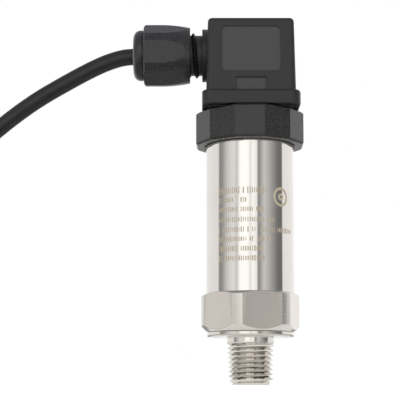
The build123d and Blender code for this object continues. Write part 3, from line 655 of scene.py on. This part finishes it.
# Process fitting above its thread, and the housing beside its threaded neck
fittingEnd = ((0, 0, processThread["Length"]), (0, 0, -1))
fittingMesh = smoothCopy("process_fitting", "processFitting", smoothUpTo["shallow"], fittingEnd)
hexagon = {
    "low": 15.7,
    "high": 27.1,
    "inside": 13.0,  # the flats lie outside this radius, and the corner strips outside the next one
    "corners": 14.5,
    "upright": 0.05,  # largest upward part of a flat's normal
}


def finishFitting(mesh, setup):
    # the hexagon's flats are milled, its corners are left as turned, and the rest is fine turned
    mesh.materials.clear()
    for finish in ("turnedStainless", "milledStainless", "ringStainless"):
        mesh.materials.append(made[finish])
    milled = 0
    for face in mesh.polygons:
        x, y, z = face.center / mm
        upright = abs(face.normal.z) < setup["upright"] and setup["low"] < z < setup["high"]
        out = Vector((x, y)).length
        if upright and out > setup["inside"]:
            face.material_index = 2 if out > setup["corners"] else 1
            milled += 1
    print("milled faces:", milled)


finishFitting(fittingMesh, hexagon)
linkPiece(fittingMesh, "processFitting", "transmitter", "stainless_turned", "process_fitting")

neckStart = glandThread["Place"][0] + glandThread["Length"]
housingEnd = ((neckStart, 0, 0), (-1, 0, 0))
housingMesh = smoothCopy("elbow_housing", "elbowHousing", smoothUpTo["usual"], housingEnd)
housing = {
    # half width, lowest and highest point of each sunk face
    "sunk": {"panel": (8.8, 91.8, 105.6), "notch": (4.5, 86.1, 90.2)},
    "facing": 0.98,  # least part of its normal that points to the front or the back
    "beyond": 11.5,  # least distance from the axis, to the front or the back
}


def finishHousing(mesh, setup):
    # the sunk panels and notches on the front and the back take the smoother finish
    mesh.materials.clear()
    mesh.materials.append(made["mouldedNylon"])
    mesh.materials.append(made["panelNylon"])
    panels = 0
    for face in mesh.polygons:
        x, y, z = face.center / mm
        inside = any(abs(x) < half and low < z < high for half, low, high in setup["sunk"].values())
        outward = abs(face.normal.y) > setup["facing"] and face.normal.y * y > 0
        if inside and outward and abs(y) > setup["beyond"]:
            face.material_index = 1
            panels += 1
    print("panel faces:", panels)


finishHousing(housingMesh, housing)
linkPiece(housingMesh, "elbowHousing", "transmitter", "black_nylon", "elbow_housing")


def startTree(name, inputs):
    # a node group with a geometry output and inputs named by kind
    tree = bpy.data.node_groups.new(name, "GeometryNodeTree")
    tree.interface.new_socket("Geometry", in_out="OUTPUT", socket_type="NodeSocketGeometry")
    for kind, names in inputs.items():
        for socket in names:
            tree.interface.new_socket(socket, in_out="INPUT", socket_type="NodeSocket" + kind)
    return tree, addNode(tree, "NodeGroupInput").outputs


def closeTree(tree, geometry, material):
    real = addNode(tree, "GeometryNodeRealizeInstances", {"Geometry": geometry})
    dressed = addNode(tree, "GeometryNodeSetMaterial", {"Geometry": real, "Material": material})
    addNode(tree, "NodeGroupOutput", {"Geometry": dressed})


def makeThreadTree():
    # One grid in screw coordinates: across is the turn, along is the distance up the profile.
    # Rows before the first and after the last one close the bore and the two end faces.
    tree, given = startTree("screwThread", {
        "Float": threadLengths + threadNumbers, "Int": threadCounts, "Vector": ("Turn", "Place"),
        "Material": ("Material",),
    })
    place = addNode(tree, "GeometryNodeInputPosition")
    parts = addNode(tree, "ShaderNodeSeparateXYZ", {0: place}).outputs
    values = {name: given[name] for name in threadLengths + threadNumbers + threadCounts}
    values.update({"gridX": parts["X"], "gridY": parts["Y"]})
    # each step is its name, an operation and its terms: numbers, inputs or earlier steps
    for name, operation, *terms in (
        ("columns", "ADD", "Around", 1.0), ("rowCount", "ADD", "Rows", 4.0), ("turn", "ADD", "gridX", 0.5),
        ("upShare", "ADD", "gridY", 0.5), ("rowSpan", "ADD", "Rows", 3.0),
        ("upRows", "MULTIPLY", "upShare", "rowSpan"), ("row", "ROUND", "upRows"),
        ("step", "DIVIDE", "Pitch", "Per Pitch"), ("threadRow", "SUBTRACT", "row", 1.0),
        ("fromFirst", "MULTIPLY", "threadRow", "step"), ("along", "SUBTRACT", "fromFirst", "Pitch"),
        ("lead", "MULTIPLY", "Pitch", "turn"), ("rise", "ADD", "along", "lead"),
        ("aboveTip", "MAXIMUM", "rise", 0.0), ("height", "MINIMUM", "aboveTip", "Length"),
        ("turns", "DIVIDE", "along", "Pitch"), ("turnsUp", "ADD", "turns", 4.0),
        ("phase", "FRACT", "turnsUp"), ("doubled", "MULTIPLY", "phase", 2.0),
        ("centred", "SUBTRACT", "doubled", 1.0), ("slope", "ABSOLUTE", "centred"),
        ("pastCrest", "SUBTRACT", "slope", "Crest Share"), ("cut", "DIVIDE", "pastCrest", "Flank Share"),
        ("below", "SUBTRACT", "Length", "height"), ("left", "DIVIDE", "below", "Fade"),
        ("halfTaper", "MULTIPLY", "Taper", 0.5), ("widening", "MULTIPLY", "height", "halfTaper"),
        ("crest", "ADD", "Crest Radius", "widening"), ("fullCut", "MULTIPLY", "Depth", "cut"),
        ("fadedCut", "MULTIPLY", "fullCut", "left"), ("threaded", "SUBTRACT", "crest", "fadedCut"),
        ("chamferDrop", "SUBTRACT", "Crest Radius", "Chamfer Radius"),
        ("chamferSlope", "DIVIDE", "chamferDrop", "Chamfer Length"),
        ("slant", "MULTIPLY", "height", "chamferSlope"), ("lastHeight", "MULTIPLY", "Pitch", "Last Turn"),
        ("pastLast", "GREATER_THAN", "along", "lastHeight"),
        ("reliefDepth", "SUBTRACT", "Relief Radius", "threaded"),
        ("relief", "MULTIPLY", "pastLast", "reliefDepth"), ("relieved", "ADD", "threaded", "relief"),
        ("chamfer", "ADD", "Chamfer Radius", "slant"), ("outer", "MINIMUM", "relieved", "chamfer"),
        ("lastRow", "ADD", "Rows", 1.5), ("isLast", "GREATER_THAN", "row", "lastRow"),
        ("isFirst", "LESS_THAN", "row", 0.5), ("isBore", "ADD", "isFirst", "isLast"),
        ("topRow", "ADD", "Rows", 2.0), ("isTop", "COMPARE", "row", "topRow", 0.25),
        ("boreStep", "SUBTRACT", "Bore Radius", "outer"), ("toBore", "MULTIPLY", "isBore", "boreStep"),
        ("radius", "ADD", "outer", "toBore"), ("boreHeight", "MULTIPLY", "Length", "isTop"),
        ("heightStep", "SUBTRACT", "boreHeight", "height"), ("toEnd", "MULTIPLY", "isBore", "heightStep"),
        ("finalHeight", "ADD", "height", "toEnd"), ("turned", "MULTIPLY", "turn", 2 * pi),
        ("angle", "ADD", "turned", "Start Angle"), ("cosine", "COSINE", "angle"), ("sine", "SINE", "angle"),
        ("x", "MULTIPLY", "radius", "cosine"), ("y", "MULTIPLY", "radius", "sine"),
    ):
        inputs = {i: values.get(term, term) for i, term in enumerate(terms)}
        clamp = name in ("cut", "left")
        values[name] = addNode(tree, "ShaderNodeMath", inputs, operation=operation, use_clamp=clamp)
    grid = addNode(
        tree, "GeometryNodeMeshGrid",
        {"Size X": 1.0, "Size Y": 1.0, "Vertices X": values["columns"], "Vertices Y": values["rowCount"]},
    )
    point = addNode(
        tree, "ShaderNodeCombineXYZ", {"X": values["x"], "Y": values["y"], "Z": values["finalHeight"]}
    )
    shaped = addNode(tree, "GeometryNodeSetPosition", {"Geometry": grid, "Position": point})
    placed = addNode(
        tree, "GeometryNodeTransform",
        {"Geometry": shaped, "Translation": given["Place"], "Rotation": given["Turn"]},
    )
    merged = addNode(tree, "GeometryNodeMergeByDistance", {"Geometry": placed, "Distance": 2e-6})
    closeTree(tree, merged, given["Material"])
    return tree


def runTree(tree, source, inputs):
    # a modifier's inputs are set by the sockets' identifiers before it is first evaluated
    holder = bpy.data.objects.new(source.name, source)
    bpy.context.scene.collection.objects.link(holder)
    modifier = holder.modifiers.new(source.name, "NODES")
    modifier.node_group = tree
    for item in tree.interface.items_tree:
        if item.in_out == "INPUT" and item.name in inputs:
            modifier[item.identifier] = inputs[item.name]
    return plainMesh(holder, source.name)


def tidyMesh(mesh, angle):
    # outward normals, no slivers from the ends, smooth up to the given angle
    shape = bmesh.new()
    shape.from_mesh(mesh)
    bmesh.ops.dissolve_degenerate(shape, dist=1e-7, edges=shape.edges)
    bmesh.ops.recalc_face_normals(shape, faces=shape.faces)
    smoothFaces(shape, angle)
    shape.to_mesh(mesh)
    shape.free()
    return mesh


def makeThread(tree, name, spec, material):
    inputs = {key: value * mm if key in threadLengths else value for key, value in spec.items()}
    inputs["Start Angle"] = radians(spec["Start Angle"])
    inputs["Place"] = [c * mm for c in spec["Place"]]
    inputs["Turn"] = [radians(a) for a in spec["Turn"]]
    inputs["Rows"] = int((spec["Length"] + spec["Pitch"]) * spec["Per Pitch"] / spec["Pitch"]) + 2
    inputs["Material"] = made[material]
    return tidyMesh(runTree(tree, bpy.data.meshes.new(name), inputs), smoothUpTo["thread"])


threadTree = makeThreadTree()
threadMesh = makeThread(threadTree, "processThread", processThread, "cutThread")
linkPiece(threadMesh, "processThread", "transmitter", "stainless_turned")
neckMesh = makeThread(threadTree, "glandNeck", glandThread, "mouldedNylon")
linkPiece(neckMesh, "glandNeck", "transmitter", "black_nylon")
print("threads cut:", len(threadMesh.polygons), "and", len(neckMesh.polygons), "faces")

# Etched block on the tube: rows of plain bars and a plain ring with an eye
etching = {
    "radius": 13.25,
    "proud": 0.02,
    "startAngle": -46.5,
    "pitch": 0.66,  # from mark to mark
    "rows": [  # height and right-hand end of each row, millimetres and degrees, and how tall its marks are
        (56.4, 20, 2.3), (53.6, -6.5, 1.7), (50.8, 20, 1.7), (47.8, 34, 1.7), (44.9, 62, 1.7),
        (42.1, 25, 1.7), (39.3, 16, 1.7), (36.5, 18, 1.7),
    ],
    "gapShare": 0.14,  # share of the marks that are left out
    "markWidth": (0.2, 0.42),
    "shortest": 0.62,  # share of the row's height
    "seed": 7,
    "ringAngle": 40.5,
    "ringHeight": 54.75,
    "rings": [(2.1, 2.85), (0.35, 1.05)],  # inner and outer radius of the ring and of the eye in it
    "ringPoints": 48,
}


def makeMarkTree(spec):
    # each point of the mesh is the start of a row; its number of marks and their height are attributes
    tree, given = startTree("etchedRows", {
        "Geometry": ("Geometry",),
        "Float": ("Radius", "Start Angle", "Step Angle", "Mark Depth"),
        "Int": ("Seed",),
        "Material": ("Material",),
    })
    count = addNode(tree, "GeometryNodeInputNamedAttribute", {"Name": "marks"}, data_type="INT")
    tall = addNode(tree, "GeometryNodeInputNamedAttribute", {"Name": "tall"}, data_type="FLOAT")
    copies = addNode(
        tree, "GeometryNodeDuplicateElements",
        {"Geometry": given["Geometry"], "Amount": count.outputs["Attribute"]}, domain="POINT",
    )
    spot = addNode(
        tree, "ShaderNodeMath",
        {0: copies.outputs["Duplicate Index"], 1: given["Step Angle"], 2: given["Start Angle"]},
        operation="MULTIPLY_ADD",
    )
    rowHeight = addNode(
        tree, "ShaderNodeSeparateXYZ", {0: addNode(tree, "GeometryNodeInputPosition")}
    ).outputs["Z"]
    side = addNode(tree, "ShaderNodeMath", {0: spot}, operation="SINE")
    front = addNode(tree, "ShaderNodeMath", {0: spot}, operation="COSINE")
    across = addNode(tree, "ShaderNodeMath", {0: side, 1: given["Radius"]}, operation="MULTIPLY")
    back = addNode(tree, "ShaderNodeMath", {0: given["Radius"], 1: -1.0}, operation="MULTIPLY")
    near = addNode(tree, "ShaderNodeMath", {0: front, 1: back}, operation="MULTIPLY")
    where = addNode(tree, "ShaderNodeCombineXYZ", {"X": across, "Y": near, "Z": rowHeight})
    points = addNode(
        tree, "GeometryNodeSetPosition", {"Geometry": copies.outputs["Geometry"], "Position": where}
    )
    gap = addNode(
        tree, "FunctionNodeRandomValue", {"Probability": spec["gapShare"], "Seed": given["Seed"]},
        data_type="BOOLEAN",
    )
    kept = addNode(
        tree, "GeometryNodeDeleteGeometry", {"Geometry": points, "Selection": gap.outputs[3]}, domain="POINT"
    )
    bar = addNode(tree, "GeometryNodeMeshCube", {"Size": (1.0, 1.0, 1.0)})
    later = addNode(tree, "ShaderNodeMath", {0: given["Seed"], 1: 1.0}, operation="ADD")
    narrow, wide = (width * mm for width in spec["markWidth"])
    size = addNode(
        tree, "FunctionNodeRandomValue",
        {"Min": (narrow, 1.0, spec["shortest"]), "Max": (wide, 1.0, 1.0), "Seed": later},
        data_type="FLOAT_VECTOR",
    )
    solid = addNode(
        tree, "ShaderNodeCombineXYZ", {"X": 1.0, "Y": given["Mark Depth"], "Z": tall.outputs["Attribute"]}
    )
    scale = addNode(tree, "ShaderNodeVectorMath", {0: size, 1: solid}, operation="MULTIPLY")
    facing = addNode(tree, "ShaderNodeCombineXYZ", {"Z": spot})
    turn = addNode(tree, "FunctionNodeEulerToRotation", {0: facing})
    marks = addNode(
        tree, "GeometryNodeInstanceOnPoints",
        {"Points": kept, "Instance": bar, "Rotation": turn, "Scale": scale},
    )
    closeTree(tree, marks, given["Material"])
    return tree


def makeMarks(spec):
    stepAngle = spec["pitch"] / spec["radius"]
    start = radians(spec["startAngle"])
    source = bpy.data.meshes.new("etchedRows")
    source.from_pydata([(0, 0, height * mm) for height, end, tall in spec["rows"]], [], [])
    source.attributes.new("marks", "INT", "POINT")
    source.attributes.new("tall", "FLOAT", "POINT")
    for i, (height, end, tall) in enumerate(spec["rows"]):
        source.attributes["marks"].data[i].value = int((radians(end) - start) / stepAngle)
        source.attributes["tall"].data[i].value = tall * mm
    return runTree(makeMarkTree(spec), source, {
        "Radius": spec["radius"] * mm, "Start Angle": start + stepAngle / 2, "Step Angle": stepAngle,
        "Mark Depth": 2 * spec["proud"] * mm, "Seed": spec["seed"], "Material": made["laserMark"],
    })


def makeEtchedRing(spec):
    # annuli laid on the tube's wall, closed with their undersides
    shape = bmesh.new()
    proud = spec["proud"]
    count = spec["ringPoints"]
    for inner, outer in spec["rings"]:
        loops = []
        for reach, height in ((inner, -proud), (inner, proud), (outer, proud), (outer, -proud)):
            loop = []
            for k in range(count):
                turn = 2 * pi * k / count
                angle = radians(spec["ringAngle"]) + reach * cos(turn) / spec["radius"]
                r = spec["radius"] + height
                loop.append(shape.verts.new(
                    (r * sin(angle) * mm, -r * cos(angle) * mm, (spec["ringHeight"] + reach * sin(turn)) * mm)
                ))
            loops.append(loop)
        for a, b in zip(loops, loops[1:] + loops[:1]):
            for k in range(count):
                after = (k + 1) % count
                shape.faces.new((a[k], a[after], b[after], b[k]))
    bmesh.ops.recalc_face_normals(shape, faces=shape.faces)
    mesh = bpy.data.meshes.new("etchedRing")
    shape.to_mesh(mesh)
    shape.free()
    mesh.materials.append(made["laserMark"])
    return mesh


linkPiece(makeMarks(etching), "etchedRows", "transmitter", "stainless_tube")
linkPiece(makeEtchedRing(etching), "etchedRing", "transmitter", "stainless_tube")
print("etching made")

# Lead: the frame's route, with the first stretch moved to the photograph's droop, then the hank's turns
lead = {
    "diameter": 5.0,
    "length": 1.5,
    "exit": (-35.3, 0.0, 99.9),
    "route": [
        (-12.6, 0, 100.1), (-34.5, 0, 100.2), (-42.0, 0, 98.8), (-52.0, 0.3, 94.0), (-70.0, 1.0, 83.5),
        (-91.0, 3.5, 65.5), (-104.0, 9, 44.0), (-113.0, 14, 29.5), (-128.0, 19.5, 18.5), (-150.0, 20, 17.5),
    ],
}
hank = {
    "centreX": -131.0,
    "straight": 48.0,
    "turns": [  # radius and height of each turn, in the order they are wound
        (20.0, 17.5), (20.0, 12.5), (15.0, 12.5), (15.0, 7.5), (20.0, 7.5), (20.0, 2.5), (15.0, 2.5),
    ],
    "bendPoints": 6,
    "changeLength": 14.0,
    "changeEnd": 3.0,
    "tailStart": (-144.0, -14.0, 2.5),
    "tailLength": 18.0,
    "tailAngle": 17.0,
    "tailTurn": (5.5, -15.0),  # last point before the tail, from the left end of the straight
}


def hankPoints(setup):
    # Each turn goes round anticlockwise from the far side and changes its place on the near straight,
    # a little earlier than the turn before, so that no two lie in each other.
    half = setup["straight"] / 2
    left, right = setup["centreX"] - half, setup["centreX"] + half
    count = setup["bendPoints"]
    step = pi / count
    reach = 1 / cos(step / 2)
    turns = setup["turns"]
    spare = setup["straight"] - setup["changeLength"] - 2 * setup["changeEnd"]
    points = [(left, turns[0][0], turns[0][1])]
    for i, (radius, height) in enumerate(turns):
        for k in range(1, count):
            a = pi / 2 + k * step
            points.append((left + radius * reach * cos(a), radius * reach * sin(a), height))
        points.append((left, -radius, height))
        if i + 1 == len(turns):
            break
        change = right - setup["changeEnd"] - i * spare / (len(turns) - 2)
        points.append((change - setup["changeLength"], -radius, height))
        radius, height = turns[i + 1]
        points.append((change, -radius, height))
        for k in range(count + 1):
            a = -pi / 2 + k * step
            stretch = reach if 0 < k < count else 1
            points.append((right + radius * stretch * cos(a), radius * stretch * sin(a), height))
        points.append((left, radius, height))
    a = radians(setup["tailAngle"])
    start = Vector(setup["tailStart"])
    along = Vector((cos(a), sin(a), 0))
    ahead, across = setup["tailTurn"]
    points += [(left + ahead, across, start.z), start, start + along * setup["tailLength"] / 2]
    points.append(start + along * setup["tailLength"])
    return points


def makeLead(setup, winding):
    data = bpy.data.curves.new("jacketLead", "CURVE")
    data.dimensions = "3D"
    data.bevel_depth = setup["diameter"] / 2 * mm
    data.bevel_resolution = 6
    data.resolution_u = 8
    data.use_fill_caps = True
    data.materials.append(made["satinJacket"])
    points = setup["route"] + hankPoints(winding)
    spline = data.splines.new("NURBS")
    spline.points.add(len(points) - 1)
    for point, (x, y, z) in zip(spline.points, points):
        point.co = (x * mm, y * mm, z * mm, 1)
    spline.order_u = 3
    spline.use_endpoint_u = True
    piece = linkPiece(data, "jacketLead", "transmitter", "cable_jacket", "cable_lead", "cable_hank")
    ends = [pieces[name] for name in ("leadCoreBrown", "leadCoreBlue", "leadCoreEarth", "coreFerrules")]
    for part in (piece, hankBands, *ends):
        part.visible_glossy = False  # in the photograph the steel doesn't mirror the lead


# Two woven bands round the hank's sides, each with its free end laid back over itself
bands = {
    "width": 6.0,
    "thickness": 0.75,
    "bundle": (10.0, 20.0),
    "slack": 0.05,
    "corner": 2.6,
    "cornerSteps": 6,
    "places": [(-127.0, -17.5), (-114.0, 17.5)],  # along the hank and across it
    "lowest": 0.35,  # how near the inside comes to the surface that the hank lies on
    "tabLength": 7.0,
    "tabPoints": 9,  # points of the outline that the free end covers
    "tabGap": 0.02,
    "tabOutside": 1.9,  # thicknesses from the bundle to the free end's outside
    # section: share of the half width and of the thickness, with the selvedges a little thinner
    "section": [
        (-1, 0.15), (-0.9, 0.0), (0.9, 0.0), (1, 0.15), (1, 0.85), (0.9, 1), (-0.9, 1), (-1, 0.85),
    ],
}


def makeBands(spec):
    shape = bmesh.new()
    halfWide, tall = spec["bundle"][0] / 2 + spec["slack"], spec["bundle"][1]
    section = spec["section"]

    def outline(offset, low):
        # rounded rectangle round the bundle, in its cross-section
        r = spec["corner"] + offset
        points = []
        for cy, cz, first in (
            (halfWide - spec["corner"], tall - spec["corner"], 0),
            (-halfWide + spec["corner"], tall - spec["corner"], 90),
            (-halfWide + spec["corner"], spec["corner"], 180),
            (halfWide - spec["corner"], spec["corner"], 270),
        ):
            for k in range(spec["cornerSteps"] + 1):
                a = radians(first + 90 / spec["cornerSteps"] * k)
                points.append((cy + r * cos(a), max(cz + r * sin(a), low)))
        return points

    def sweepStrip(x, y, inner, outer, closed):
        half = spec["width"] / 2
        rings = []
        for (yi, zi), (yo, zo) in zip(inner, outer):
            ring = []
            for across, depth in section:
                py, pz = yi + (yo - yi) * depth, zi + (zo - zi) * depth
                ring.append(shape.verts.new(((x + across * half) * mm, (y + py) * mm, pz * mm)))
            rings.append(ring)
        pairs = list(zip(rings, rings[1:] + rings[:1])) if closed else list(zip(rings, rings[1:]))
        for a, b in pairs:
            for k in range(len(section)):
                after = (k + 1) % len(section)
                shape.faces.new((a[k], a[after], b[after], b[k]))
        if not closed:
            shape.faces.new(rings[0])
            shape.faces.new(rings[-1])

    covered, thickness = spec["tabPoints"], spec["thickness"]
    for x, y in spec["places"]:
        inner, outer = outline(0.0, spec["lowest"]), outline(thickness, 0.0)
        sweepStrip(x, y, inner, outer, True)
        # the free end lies a second layer up the side and over the top
        side = 1 if y < 0 else -1
        under = [(side * a, b) for a, b in outline(thickness + spec["tabGap"], 0.0)[:covered]]
        over = [(side * a, b) for a, b in outline(thickness * spec["tabOutside"], 0.0)[:covered]]
        under = [(under[0][0], under[0][1] - spec["tabLength"])] + under
        over = [(over[0][0], over[0][1] - spec["tabLength"])] + over
        sweepStrip(x, y, under, over, False)
    bmesh.ops.recalc_face_normals(shape, faces=shape.faces)
    for face in shape.faces:
        face.smooth = True
    mesh = bpy.data.meshes.new("hankBands")
    shape.to_mesh(mesh)
    shape.free()
    mesh.materials.append(made["wovenBand"])
    return mesh


hankBands = linkPiece(makeBands(bands), "hankBands", "transmitter", "tie_nylon", "hank_ties")
makeLead(lead, hank)
print("lead wound:", len(hank["turns"]), "turns")
